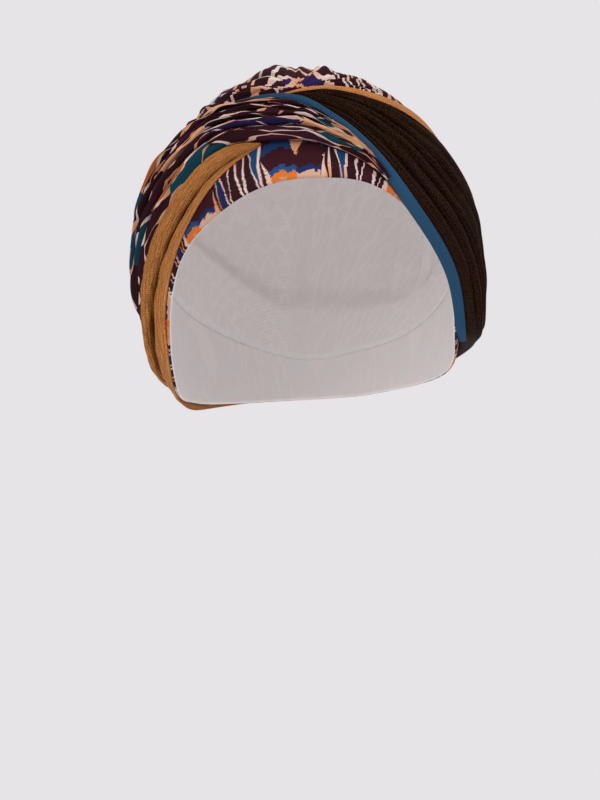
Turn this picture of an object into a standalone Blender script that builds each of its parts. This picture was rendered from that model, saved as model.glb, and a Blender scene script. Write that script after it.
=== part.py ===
"""A pre-tied turban headwrap in the form it takes on a head.

A printed jersey cap (crown and brow band) carries two wraps that twist over the forehead. The printed
wrap comes round the wearer's right side and crosses over; the lurex knit wrap is tan on that side, passes
under the crossing and fans out brown on the wearer's left. Blue binding and a tan border edge the wraps.

Metres, +Z up, the face towards -Y, the wearer's left towards +X. The origin is the top of the head.
Every piece is laid on one head form by direction (longitude from the face towards +X, latitude up from
the middle of the head, both in degrees) and by height above the form. Stations run round the wraps from
0 at the middle of the back, over the wearer's right side, the twist at 4 and the wearer's left side, to
12 at the middle of the back again.
"""

import math

import bmesh
import bpy
import numpy as np

HEAD_HALF_WIDTH = 0.079
HEAD_FRONT = 0.094
HEAD_BACK = 0.098
CROWN_RISE = 0.107
FACE_DROP = 0.116
NAPE_DROP = 0.092
HEAD_SQUARENESS = 2.2

CAP_WALL = 0.0015
CLEARANCE = 0.0003
CROWN_EASE = 0.0052
CROWN_FOLD = 0.0034
GATHER_LON = -15
GATHER_LAT = 65
GATHER_RISE_DEG = 18
GATHER_EASE_SHARE = 0.4
CROWN_SETTLE_DEG = 13

PRINT_THICKNESS = 0.0138
TAN_THICKNESS = 0.0095
BROWN_THICKNESS = 0.0122
BLUE_EDGE_WIDTH = 0.0050
BLUE_EDGE_THICKNESS = 0.0052
TAN_BORDER_WIDTH = 0.0070
TAN_BORDER_THICKNESS = 0.0054
NECK_THICKNESS = 0.0020

STATIONS_ROUND = 12
TWIST_STATION = 4
PRINT_TIP_STATION = 6.5
TAN_TIP_STATION = 3.7
BLUE_START_STATION = 1.4
BLUE_END_STATION = 9.4
NECK_LOW_STATION = 3.42
NECK_HIGH_STATION = 4.04
NECK_STATIONS_WIDE = 0.26
LIFT_START_STATION = 2.5
LIFT_END_STATION = 5.3
LIFT_RAMP_STATIONS = 0.8
SECTION_SPACING_DEG = 6.2
BACK_LON = 180 - math.degrees(CLEARANCE / 2 / HEAD_BACK)


def table(columns, *rows):
    return dict(zip(columns.split(), np.array(rows, float).T))


# The lines that part the pieces. Edge is the printed wrap's upper edge and the brown wrap's face edge.
EDGE = table(
    "station lon lat blue_width blue_thick",
    (0, -BACK_LON, -11, 0.3, 0.5),
    (1, -130, 20, 0.3, 0.7),
    (2, -92, 45, 0.4, 1.1),
    (3, -57, 56, 0.5, 1.25),
    (4, -24, 58, 0.65, 1.3),
    (5, -4, 52, 0.9, 1.3),
    (6, 10.5, 41, 1.0, 1.15),
    (7, 26, 22.5, 1.0, 1.0),
    (8, 43.5, 3.5, 0.85, 1.0),
    (9, 57.5, -16.5, 0.5, 0.9),
    (10, 82, -23.5, 0.0, 0.5),
    (11, 126, -33.5, 0.0, 0.5),
    (12, BACK_LON, -38.5, 0.0, 0.5),
)
PRINT_BAND = table(
    "station lon lat thick pleat",
    (0, -BACK_LON, -28, 0.55, 0.6),
    (1, -108, -17, 0.95, 0.9),
    (2, -73, 22, 1.0, 1.0),
    (3, -46.5, 42.5, 0.85, 1.0),
    (4, -20, 44, 0.68, 0.8),
    (5, -2, 42, 0.6, 0.8),
    (6, 12, 36.5, 0.48, 0.8),
    (6.5, 17.5, 32, 0.3, 0.6),
)
TAN_BAND = table(
    "station lon lat thick pleat",
    (0, -BACK_LON, -40, 0.65, 0.6),
    (0.5, -116, -46, 0.65, 0.7),
    (1, -83, -33, 0.85, 1.0),
    (1.5, -73, -7, 1.0, 1.0),
    (2, -63.5, 11, 0.85, 1.0),
    (2.5, -53.5, 25, 0.75, 1.0),
    (3, -44.5, 34.3, 0.65, 0.9),
    (3.5, -34, 41, 0.38, 0.7),
    (3.7, -29.5, 43, 0.2, 0.5),
)
BROWN_BAND = table(
    "station lon lat thick pleat border",
    (4, -23, 60, 0.35, 0.4, 0.1),
    (4.5, -12.5, 61, 0.5, 0.7, 0.5),
    (5, -2, 61.5, 0.62, 0.9, 0.8),
    (6, 26, 58.5, 0.72, 1.0, 1.2),
    (7, 60, 49, 0.74, 1.0, 1.8),
    (8, 88, 27, 0.9, 1.0, 1.8),
    (9, 107, 2, 1.0, 1.0, 1.3),
    (10, 127, -9.5, 0.9, 0.9, 1.0),
    (11, 153, -13.5, 0.75, 0.7, 0.8),
    (12, BACK_LON, -13, 0.6, 0.6, 0.8),
)
# The cap: the seam between crown and brow band, hidden under the wraps, and the brow band's rim.
SEAM = table(
    "station lon lat",
    (0, -180, -25),
    (1, -131, -7),
    (2, -92, 20),
    (3, -59, 39),
    (4, -25, 49),
    (5, -3, 50.5),
    (6, 24, 44),
    (7, 56, 29),
    (8, 83, 11),
    (9, 106, -6),
    (10, 129, -18),
    (11, 154, -24),
    (12, 180, -25),
)
RIM = table(
    "station lon lat",
    (0, -180, -41.5),
    (1, -124, -44),
    (2, -85, -36),
    (2.5, -75.5, -22),
    (3, -68, -2),
    (3.5, -57, 13.3),
    (4, -36, 26.5),
    (4.5, -20, 31.7),
    (5, -4, 32.7),
    (6, 19, 28.5),
    (7, 41, 11),
    (8, 53, -8),
    (9, 64, -22.5),
    (10, 94, -34),
    (11, 140, -40),
    (12, 180, -41.5),
)

# Where a wrap's pleats meet: the share of its width at its first and last station, the depth there, and
# how high the roll that starts there stands.
PRINT_PLEATS = table(
    "first last depth crest",
    (0.0, 0.0, 0.0, 0.85),
    (0.13, 0.22, 0.32, 0.95),
    (0.30, 0.40, 0.36, 1.0),
    (0.47, 0.56, 0.28, 0.94),
    (0.63, 0.70, 0.38, 1.0),
    (0.82, 0.86, 0.32, 0.76),
    (1.0, 1.0, 0.0, 0.76),
)
TAN_PLEATS = table(
    "first last depth crest",
    (0.0, 0.0, 0.0, 0.5),
    (0.42, 0.12, 0.4, 1.0),
    (0.72, 0.72, 0.12, 0.98),
    (1.0, 1.0, 0.0, 0.98),
)
BROWN_PLEATS = table(
    "first last depth crest",
    (0.0, 0.0, 0.0, 0.9),
    (0.14, 0.12, 0.28, 0.97),
    (0.28, 0.25, 0.36, 1.0),
    (0.42, 0.40, 0.26, 0.96),
    (0.56, 0.55, 0.34, 1.0),
    (0.70, 0.70, 0.46, 0.98),
    (0.86, 0.85, 0.3, 0.94),
    (1.0, 1.0, 0.0, 0.94),
)
# The crown's folds: the station where each one starts, its height and the ease under it, as shares.
CROWN_FOLDS = table(
    "station height ease",
    (0.0, 0.6, 1.0),
    (0.45, 0.8, 1.0),
    (0.85, 0.6, 1.0),
    (1.2, 0.9, 1.0),
    (1.55, 0.7, 1.0),
    (1.9, 1.0, 1.0),
    (2.25, 0.7, 1.0),
    (2.65, 1.0, 1.05),
    (3.05, 0.8, 1.0),
    (3.45, 0.9, 1.0),
    (4.1, 0.5, 0.9),
    (5.4, 0.7, 0.4),
    (6.15, 0.5, 0.1),
    (6.7, 0.4, 0.0),
    (7.3, 0.35, 0.0),
    (8.0, 0.4, 0.12),
    (8.7, 0.5, 0.25),
    (9.4, 0.5, 0.28),
    (10.0, 0.5, 0.4),
    (10.6, 0.7, 0.7),
    (11.3, 0.7, 0.9),
)
POINTS_PER_PLEAT = 3
PLEAT_ROUNDNESS = 0.7
COLUMNS_PER_FOLD = 3
FOLD_ROUNDNESS = 0.8
BAND_EDGE_ROUNDNESS = 4
CROWN_RINGS = (0.05, 0.12, 0.2, 0.3, 0.4, 0.5, 0.6, 0.7, 0.79, 0.87, 0.94, 1.0)
HIDDEN_RINGS = (0.5, 1.0)
BROW_ROWS = (0.0, 0.33, 0.66, 1.0)
BAND_EDGE_SHARE = 0.34
WIDE_BASE_POINTS = 9
NARROW_BASE_POINTS = 3


def along(rows, column, station):
    """One column of a line's table at any station, by a cubic through its rows; a closed line stays smooth."""
    knots = rows["station"]
    values = rows[column]
    slopes = np.gradient(values, knots)
    if rows["lat"][0] == rows["lat"][-1]:
        slopes[0] = slopes[-1] = (slopes[0] + slopes[-1]) / 2
    place = np.clip(np.searchsorted(knots, station, side="right") - 1, 0, len(knots) - 2)
    span = knots[place + 1] - knots[place]
    t = np.clip((station - knots[place]) / span, 0, 1)
    start = values[place] * (1 + 2 * t) * (1 - t) ** 2 + slopes[place] * span * t * (1 - t) ** 2
    end = values[place + 1] * t**2 * (3 - 2 * t) - slopes[place + 1] * span * t**2 * (1 - t)
    return start + end


def direction(lon, lat):
    lon, lat = np.radians(lon), np.radians(lat)
    return np.stack([np.cos(lat) * np.sin(lon), -np.cos(lat) * np.cos(lon), np.sin(lat)], -1)


def unit(vectors):
    return vectors / np.linalg.norm(vectors, axis=-1, keepdims=True)


def half_axes(way):
    """The head form's front or back reach and its rise or drop, towards each direction."""
    x, y, z = way[..., 0], way[..., 1], way[..., 2]
    backward = 0.5 + 0.5 * y / np.maximum(np.hypot(x, y), 1e-9)
    reach = np.where(y < 0, HEAD_FRONT, HEAD_BACK)
    drop = FACE_DROP + (NAPE_DROP - FACE_DROP) * backward
    return reach, np.where(z > 0, CROWN_RISE, drop)


def on_head(way, height):
    """The point this high above the head form, in the direction way from its middle."""
    reach, rise = half_axes(way)
    x, y, z = way[..., 0], way[..., 1], way[..., 2]
    flat = (x / HEAD_HALF_WIDTH) ** 2 + (y / reach) ** 2
    power = HEAD_SQUARENESS
    size = (flat ** (power / 2) + np.abs(z / rise) ** power) ** (-1 / power)
    bulge = np.maximum(flat, 1e-12) ** (power / 2 - 1)
    steep = np.sign(z) * np.abs(z) ** (power - 1) / rise**power
    normal = unit(np.stack([bulge * x / HEAD_HALF_WIDTH**2, bulge * y / reach**2, steep], -1))
    point = way * size[..., None] + normal * np.asarray(height)[..., None]
    return point - np.array([0, 0, CROWN_RISE])


def path(rows, station):
    return direction(along(rows, "lon", station), along(rows, "lat", station))


def line(rows, station, aside=0.0):
    """Directions along a table's line, moved aside by a distance on the head, up over the wraps."""
    nudge = 0.02
    here = path(rows, station)
    ahead = path(rows, station + nudge)
    behind = path(rows, station - nudge)
    reach = np.linalg.norm(on_head(here, np.zeros(here.shape[:-1])) + [0, 0, CROWN_RISE], axis=-1)
    angle = (aside / reach)[..., None]
    upward = unit(np.cross(here, ahead - behind))
    return here * np.cos(angle) + upward * np.sin(angle)


def between(first, second, share):
    return unit(first * (1 - share) + second * share)


def blue_outer_line(station, aside):
    return line(EDGE, station, BLUE_EDGE_WIDTH * np.maximum(along(EDGE, "blue_width", station), 0) + aside)


def border_outer_line(station, aside):
    return line(BROWN_BAND, station, TAN_BORDER_WIDTH * along(BROWN_BAND, "border", station) + aside)


def wraps_top_line(station):
    """The uppermost line of the wraps, where the crown comes out from under them."""
    left = blue_outer_line(station, CLEARANCE)
    right = border_outer_line(np.maximum(station, TWIST_STATION), CLEARANCE)
    return np.where((station < TWIST_STATION)[..., None], left, right)


def smooth_step(low, high, value):
    share = np.clip((value - low) / (high - low), 0, 1)
    return share * share * (3 - 2 * share)


def neck_lift(station):
    """How far the crossing wrap is raised where the lurex wrap passes under it."""
    rise = smooth_step(LIFT_START_STATION, LIFT_START_STATION + LIFT_RAMP_STATIONS, station)
    fall = smooth_step(LIFT_END_STATION - LIFT_RAMP_STATIONS, LIFT_END_STATION, station)
    return (NECK_THICKNESS + CLEARANCE) * rise * (1 - fall)


def new_object(name, vertices, faces, colour, roughness, metallic):
    shape = bmesh.new()
    corners = [shape.verts.new(vertex) for vertex in vertices]
    for face in faces:
        shape.faces.new([corners[index] for index in face])
    bmesh.ops.recalc_face_normals(shape, faces=shape.faces)
    mesh = bpy.data.meshes.new(name)
    shape.to_mesh(mesh)
    shape.free()
    mesh.shade_smooth()
    mesh.set_sharp_from_angle(angle=math.radians(60))
    material = bpy.data.materials.new(name)
    material.use_nodes = True
    principled = material.node_tree.nodes["Principled BSDF"]
    principled.inputs["Base Color"].default_value = (*colour, 1)
    principled.inputs["Roughness"].default_value = roughness
    principled.inputs["Metallic"].default_value = metallic
    mesh.materials.append(material)
    bpy.context.scene.collection.objects.link(bpy.data.objects.new(name, mesh))


def grid_faces(first, rows, columns, closed=False):
    """Quads over a grid of points numbered row by row; a closed grid joins its last column to its first."""
    faces = []
    for row in range(rows - 1):
        for column in range(columns if closed else columns - 1):
            after = (column + 1) % columns
            low = first + row * columns
            high = low + columns
            faces.append((low + column, low + after, high + after, high + column))
    return faces


def band(name, stations, low, high, shares, base, top, base_points, finish):
    """A closed strip between two lines: a smooth base, and a top of the given heights above it."""
    across = shares.shape[1]
    low, high = low[:, None, :], high[:, None, :]
    upper = on_head(between(low, high, shares[..., None]), base[:, None] + top)
    even = np.linspace(0, 1, base_points)
    lower = on_head(between(low, high, even[None, :, None]), np.repeat(base[:, None], base_points, 1))
    count = len(stations)
    second = count * across
    faces = grid_faces(0, count, across) + grid_faces(second, count, base_points)
    for side_top, side_base in ((0, 0), (across - 1, base_points - 1)):
        for row in range(count - 1):
            near_top = row * across + side_top
            near_base = second + row * base_points + side_base
            faces.append((near_top, near_top + across, near_base + base_points, near_base))
    for row in (0, count - 1):
        tops = [row * across + column for column in range(across)]
        bases = [second + row * base_points + column for column in range(base_points)]
        faces.append(tuple(tops + bases[::-1]))
    points = np.concatenate([upper.reshape(-1, 3), lower.reshape(-1, 3)])
    new_object(name, points, faces, *finish)


def section_stations():
    """Stations all round the wraps, no further apart on any line than SECTION_SPACING_DEG."""
    fine = np.linspace(0, STATIONS_ROUND, 40 * STATIONS_ROUND + 1)
    turned = np.zeros(len(fine) - 1)
    for rows in (EDGE, PRINT_BAND, TAN_BAND, BROWN_BAND):
        ways = path(rows, fine)
        turned = np.maximum(turned, np.degrees(np.linalg.norm(np.diff(ways, axis=0), axis=1)))
    travelled = np.append(0, np.cumsum(turned))
    count = math.ceil(travelled[-1] / SECTION_SPACING_DEG) + 1
    return np.interp(np.linspace(0, travelled[-1], count), travelled, fine)


def stations_between(first, last):
    """The shared section stations from first to last, with those two in place of their nearest ones."""
    shared = section_stations()
    margin = 0.04
    inside = shared[(shared > first + margin) & (shared < last - margin)]
    return np.concatenate([[first], inside, [last]])


def pleated(pleats, stations, strength):
    """Shares across a wrap and heights from 0 to 1 there, for rolls between its pleats' valleys."""
    travel = ((stations - stations[0]) / (stations[-1] - stations[0]))[:, None]
    valleys = pleats["first"] * (1 - travel) + pleats["last"] * travel
    within = np.arange(POINTS_PER_PLEAT) / POINTS_PER_PLEAT
    shares = []
    heights = []
    for roll in range(valleys.shape[1] - 1):
        start, end = valleys[:, roll : roll + 1], valleys[:, roll + 1 : roll + 2]
        depth = pleats["depth"][roll] * (1 - within) + pleats["depth"][roll + 1] * within
        crest, before, after = (pleats["crest"][max(roll + step, 0)] for step in (0, -1, 1))
        beside = (crest + np.where(within < 0.5, before, after)) / 2
        crests = crest + (beside - crest) * (2 * within - 1) ** 2
        shares.append(start + (end - start) * within)
        valley = strength[:, None] * depth * (1 - np.sin(np.pi * within) ** PLEAT_ROUNDNESS)
        heights.append(crests * (1 - valley))
    shares = np.concatenate(shares + [valleys[:, -1:]], 1)
    heights = np.concatenate(heights + [np.full_like(travel, pleats["crest"][-1])], 1)
    round_off = (1 - np.abs(2 * shares - 1) ** BAND_EDGE_ROUNDNESS) ** 0.5
    return shares, heights * (BAND_EDGE_SHARE + (1 - BAND_EDGE_SHARE) * round_off)


def make_print_band():
    stations = stations_between(0, PRINT_TIP_STATION)
    shares, heights = pleated(PRINT_PLEATS, stations, along(PRINT_BAND, "pleat", stations))
    thickness = PRINT_THICKNESS * along(PRINT_BAND, "thick", stations)
    base = CAP_WALL + CLEARANCE + neck_lift(stations)
    top = thickness[:, None] * heights
    low = line(PRINT_BAND, stations, CLEARANCE / 2)
    high = line(EDGE, stations, -CLEARANCE / 2)
    finish = ((0.09, 0.02, 0.03), 0.7, 0.0)
    band("print_band", stations, low, high, shares, base, top, WIDE_BASE_POINTS, finish)


def make_tan_band():
    stations = stations_between(0, TAN_TIP_STATION)
    shares, heights = pleated(TAN_PLEATS, stations, along(TAN_BAND, "pleat", stations))
    thickness = TAN_THICKNESS * along(TAN_BAND, "thick", stations)
    base = np.full(len(stations), CAP_WALL + CLEARANCE)
    low = line(TAN_BAND, stations)
    high = line(PRINT_BAND, stations, -CLEARANCE / 2)
    top = thickness[:, None] * heights
    finish = ((0.33, 0.15, 0.04), 0.45, 0.6)
    band("tan_band", stations, low, high, shares, base, top, WIDE_BASE_POINTS, finish)


def make_brown_band():
    stations = stations_between(TWIST_STATION, STATIONS_ROUND)
    shares, heights = pleated(BROWN_PLEATS, stations, along(BROWN_BAND, "pleat", stations))
    thickness = BROWN_THICKNESS * along(BROWN_BAND, "thick", stations)
    base = np.full(len(stations), CAP_WALL + CLEARANCE)
    low = blue_outer_line(stations, CLEARANCE / 2)
    high = line(BROWN_BAND, stations, -CLEARANCE / 2)
    top = thickness[:, None] * heights
    finish = ((0.03, 0.012, 0.008), 0.4, 0.5)
    band("brown_band", stations, low, high, shares, base, top, WIDE_BASE_POINTS, finish)


def make_blue_edge():
    stations = stations_between(BLUE_START_STATION, BLUE_END_STATION)
    shares = np.tile([0.0, 0.3, 0.7, 1.0], (len(stations), 1))
    slope = np.array([0.45, 0.75, 1.0, 0.9])
    thickness = BLUE_EDGE_THICKNESS * along(EDGE, "blue_thick", stations)
    base = CAP_WALL + CLEARANCE + neck_lift(stations)
    low = line(EDGE, stations, CLEARANCE / 2)
    high = blue_outer_line(stations, -CLEARANCE / 2)
    top = thickness[:, None] * slope
    finish = ((0.02, 0.09, 0.18), 0.7, 0.0)
    band("blue_edge", stations, low, high, shares, base, top, NARROW_BASE_POINTS, finish)


def make_tan_border():
    stations = stations_between(TWIST_STATION, STATIONS_ROUND)
    shares = np.tile([0.0, 0.35, 0.75, 1.0], (len(stations), 1))
    slope = np.array([0.75, 0.95, 1.0, 0.6])
    thickness = np.full(len(stations), TAN_BORDER_THICKNESS)
    base = np.full(len(stations), CAP_WALL + CLEARANCE)
    low = line(BROWN_BAND, stations, CLEARANCE / 2)
    high = border_outer_line(stations, -CLEARANCE / 2)
    top = thickness[:, None] * slope
    finish = ((0.4, 0.19, 0.05), 0.4, 0.7)
    band("tan_border", stations, low, high, shares, base, top, NARROW_BASE_POINTS, finish)


def make_crown(stations, fold, ease):
    """The gathered crown: a shell fanning out from the gather, eased and folded where it shows."""
    gather = direction(GATHER_LON, GATHER_LAT)
    top_line = wraps_top_line(stations)
    seam = line(SEAM, stations, CLEARANCE / 2)
    ways = [between(gather, top_line, share) for share in CROWN_RINGS]
    ways += [between(top_line, seam, share) for share in HIDDEN_RINGS]
    ways = np.array(ways)
    from_gather = np.degrees(np.arccos(np.clip(ways @ gather, -1, 1)))
    from_wraps = np.degrees(np.arccos(np.clip((ways * top_line).sum(-1), -1, 1)))
    from_wraps[len(CROWN_RINGS) :] = 0
    swell = smooth_step(-GATHER_RISE_DEG / 2, GATHER_RISE_DEG, from_gather)
    swell *= smooth_step(0, CROWN_SETTLE_DEG, from_wraps)
    height = swell * (CROWN_EASE * ease + CROWN_FOLD * fold)
    gather_height = np.array(GATHER_EASE_SHARE * CROWN_EASE)
    inner = np.concatenate([on_head(ways, height).reshape(-1, 3), [on_head(gather, gather_height)]])
    outer_gather = on_head(gather, gather_height + CAP_WALL)
    outer = np.concatenate([on_head(ways, height + CAP_WALL).reshape(-1, 3), [outer_gather]])
    rings, columns = ways.shape[:2]
    skin = len(inner)
    faces = []
    for first in (0, skin):
        faces += grid_faces(first, rings, columns, closed=True)
        pole = first + skin - 1
        faces += [(pole, first + column, first + (column + 1) % columns) for column in range(columns)]
    rim = (rings - 1) * columns
    for column in range(columns):
        after = (column + 1) % columns
        faces.append((rim + column, rim + after, skin + rim + after, skin + rim + column))
    points = np.concatenate([inner, outer])
    new_object("crown", points, faces, (0.1, 0.025, 0.03), 0.7, 0.0)


def make_brow_band(stations):
    """The cap's smooth band, from the hidden seam down to the rim round the face and nape."""
    seam = line(SEAM, stations, -CLEARANCE / 2)
    rim = line(RIM, stations)
    ways = np.array([between(seam, rim, share) for share in BROW_ROWS])
    rows, columns = ways.shape[:2]
    inner = on_head(ways, np.zeros((rows, columns))).reshape(-1, 3)
    outer = on_head(ways, np.full((rows, columns), CAP_WALL)).reshape(-1, 3)
    skin = rows * columns
    faces = grid_faces(0, rows, columns, closed=True) + grid_faces(skin, rows, columns, closed=True)
    for edge in (0, (rows - 1) * columns):
        for column in range(columns):
            after = (column + 1) % columns
            faces.append((edge + column, edge + after, skin + edge + after, skin + edge + column))
    points = np.concatenate([inner, outer])
    new_object("brow_band", points, faces, (0.12, 0.03, 0.03), 0.7, 0.0)


def make_twist_neck():
    """The lurex wrap's narrow neck, which passes under the crossing from the tan side to the brown one."""
    shares = np.linspace(0, 1, 9)
    across = np.linspace(0, 1, 4)
    low_station = NECK_LOW_STATION + NECK_STATIONS_WIDE * across
    high_station = NECK_HIGH_STATION + NECK_STATIONS_WIDE * across
    low = line(PRINT_BAND, low_station, CLEARANCE / 2)
    high = blue_outer_line(high_station, -CLEARANCE / 2)
    ways = np.array([between(low, high, share) for share in shares])
    base = CAP_WALL + CLEARANCE
    rows, columns = ways.shape[:2]
    lower = on_head(ways, np.full((rows, columns), base)).reshape(-1, 3)
    upper = on_head(ways, np.full((rows, columns), base + NECK_THICKNESS)).reshape(-1, 3)
    skin = rows * columns
    faces = grid_faces(0, rows, columns) + grid_faces(skin, rows, columns)
    ring = list(range(columns))
    ring += [row * columns + columns - 1 for row in range(1, rows)]
    ring += [(rows - 1) * columns + column for column in range(columns - 2, -1, -1)]
    ring += [row * columns for row in range(rows - 2, 0, -1)]
    for here, after in zip(ring, ring[1:] + ring[:1]):
        faces.append((here, after, skin + after, skin + here))
    points = np.concatenate([lower, upper])
    new_object("twist_neck", points, faces, (0.06, 0.03, 0.015), 0.45, 0.5)


def fold_columns():
    """Stations of the cap's columns, the folds' heights there as shares, and the ease under them."""
    starts = CROWN_FOLDS["station"]
    ends = np.append(starts[1:], STATIONS_ROUND)
    within = np.arange(COLUMNS_PER_FOLD) / COLUMNS_PER_FOLD
    stations = (starts[:, None] + (ends - starts)[:, None] * within).ravel()
    fold = (CROWN_FOLDS["height"][:, None] * np.sin(np.pi * within) ** FOLD_ROUNDNESS).ravel()
    return stations, fold, np.interp(stations, starts, CROWN_FOLDS["ease"])


for thing in list(bpy.data.objects):
    bpy.data.objects.remove(thing)
cap_stations, cap_fold, cap_ease = fold_columns()
make_crown(cap_stations, cap_fold, cap_ease)
make_brow_band(cap_stations)
make_print_band()
make_tan_band()
make_brown_band()
make_blue_edge()
make_tan_border()
make_twist_neck()
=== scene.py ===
import math

import bmesh
import bpy
import numpy as np
from mathutils import Matrix, Vector


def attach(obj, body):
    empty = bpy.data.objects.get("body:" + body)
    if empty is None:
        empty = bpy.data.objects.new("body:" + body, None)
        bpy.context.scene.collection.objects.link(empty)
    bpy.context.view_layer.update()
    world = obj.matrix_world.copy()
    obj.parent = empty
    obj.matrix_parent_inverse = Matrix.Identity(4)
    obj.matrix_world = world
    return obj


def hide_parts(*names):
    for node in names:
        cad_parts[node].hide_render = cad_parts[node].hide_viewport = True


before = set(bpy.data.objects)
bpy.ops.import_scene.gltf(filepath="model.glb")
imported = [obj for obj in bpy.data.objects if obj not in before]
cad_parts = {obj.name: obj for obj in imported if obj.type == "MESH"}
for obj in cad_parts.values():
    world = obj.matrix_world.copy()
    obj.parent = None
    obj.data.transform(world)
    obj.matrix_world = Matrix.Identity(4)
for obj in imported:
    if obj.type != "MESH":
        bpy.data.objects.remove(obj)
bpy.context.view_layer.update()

# The brow band: the smooth lower part of the cap, one layer of printed viscose jersey, cut as a ring and
# pulled tight round the head. It is sewn to the crown under the wraps, and its rim round the face and the
# nape is turned in and coverstitched.
HEAD_HALF_WIDTH = 0.079
HEAD_FRONT = 0.094
HEAD_BACK = 0.098
CROWN_RISE = 0.107
FACE_DROP = 0.116
NAPE_DROP = 0.092
HEAD_SQUARENESS = 2.2
CAP_WALL = 0.0015
CLEARANCE = 0.0003
SEAM_GAP = 0.00002
STATIONS_ROUND = 12
TWIST_STATION = 4
BACK_LON = 180 - math.degrees(CLEARANCE / 2 / HEAD_BACK)
BROW_COLUMNS = 560
BROW_ROWS = 44
BROW_CURVE = 1.03
HEM_WIDTH = 0.0085
HEM_SWELL = 0.00022
HEM_ROWS = 12
STITCH_FROM_RIM = 0.0064
THREAD_PITCH = 0.0015
THREAD_SLIP = 0.0026
STITCH_GROOVE = 0.0002
STITCH_GROOVE_WIDTH = 0.0005
RIM_ROUNDING = 0.0007
JERSEY_WALE = 0.0011
JERSEY_WALE_RELIEF = 0.0002


def table(columns, *rows):
    return dict(zip(columns.split(), np.array(rows, float).T))


SEAM = table(
    "station lon lat",
    (0, -180, -25),
    (1, -131, -7),
    (2, -92, 20),
    (3, -59, 39),
    (4, -25, 49),
    (5, -3, 50.5),
    (6, 24, 44),
    (7, 56, 29),
    (8, 83, 11),
    (9, 106, -6),
    (10, 129, -18),
    (11, 154, -24),
    (12, 180, -25),
)
RIM = table(
    "station lon lat",
    (0, -180, -41.5),
    (1, -124, -44),
    (2, -85, -36),
    (2.5, -75.5, -22),
    (3, -68, -2),
    (3.5, -57, 13.3),
    (4, -36, 26.5),
    (4.5, -20, 31.7),
    (5, -4, 32.7),
    (6, 19, 28.5),
    (7, 41, 11),
    (8, 53, -8),
    (9, 64, -22.5),
    (10, 94, -34),
    (11, 140, -40),
    (12, 180, -41.5),
)


def along(rows, column, station):
    """One column of a line's table at any station, by a cubic that stays smooth where the line closes."""
    knots = rows["station"]
    values = rows[column]
    slopes = np.gradient(values, knots)
    if rows["lat"][0] == rows["lat"][-1]:
        slopes[0] = slopes[-1] = (slopes[0] + slopes[-1]) / 2
    place = np.clip(np.searchsorted(knots, station, side="right") - 1, 0, len(knots) - 2)
    span = knots[place + 1] - knots[place]
    t = np.clip((station - knots[place]) / span, 0, 1)
    start = values[place] * (1 + 2 * t) * (1 - t) ** 2 + slopes[place] * span * t * (1 - t) ** 2
    end = values[place + 1] * t**2 * (3 - 2 * t) - slopes[place + 1] * span * t**2 * (1 - t)
    return start + end


def direction(lon, lat):
    lon, lat = np.radians(lon), np.radians(lat)
    return np.stack([np.cos(lat) * np.sin(lon), -np.cos(lat) * np.cos(lon), np.sin(lat)], -1)


def unit(vectors):
    return vectors / np.linalg.norm(vectors, axis=-1, keepdims=True)


def on_head(way, height):
    """The point this high above the head form, in the direction way from its middle."""
    x, y, z = way[..., 0], way[..., 1], way[..., 2]
    backward = 0.5 + 0.5 * y / np.maximum(np.hypot(x, y), 1e-9)
    reach = np.where(y < 0, HEAD_FRONT, HEAD_BACK)
    rise = np.where(z > 0, CROWN_RISE, FACE_DROP + (NAPE_DROP - FACE_DROP) * backward)
    flat = (x / HEAD_HALF_WIDTH) ** 2 + (y / reach) ** 2
    power = HEAD_SQUARENESS
    size = (flat ** (power / 2) + np.abs(z / rise) ** power) ** (-1 / power)
    bulge = np.maximum(flat, 1e-12) ** (power / 2 - 1)
    steep = np.sign(z) * np.abs(z) ** (power - 1) / rise**power
    normal = unit(np.stack([bulge * x / HEAD_HALF_WIDTH**2, bulge * y / reach**2, steep], -1))
    return way * size[..., None] + normal * np.asarray(height)[..., None] - np.array([0, 0, CROWN_RISE])


def path(rows, station):
    return direction(along(rows, "lon", station), along(rows, "lat", station))


def line(rows, station, aside=0.0):
    """Directions along a table's line, moved aside by a distance on the head, up over the wraps."""
    nudge = 0.02
    here = path(rows, station)
    reach = np.linalg.norm(on_head(here, 0) + [0, 0, CROWN_RISE], axis=-1)
    angle = (aside / reach)[..., None]
    upward = unit(np.cross(here, path(rows, station + nudge) - path(rows, station - nudge)))
    return here * np.cos(angle) + upward * np.sin(angle)


def between(first, second, share):
    return unit(first * (1 - share) + second * share)


def travelled(points):
    """Distance from the first point along a row of points."""
    steps = np.linalg.norm(np.diff(points, axis=0), axis=-1)
    return np.concatenate([[0], np.cumsum(steps)])


def smooth_step(low, high, value):
    share = np.clip((value - low) / (high - low), 0, 1)
    return share * share * (3 - 2 * share)


def placed(name, data):
    made = bpy.data.objects.new(name, data)
    bpy.context.scene.collection.objects.link(made)
    return made


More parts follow.
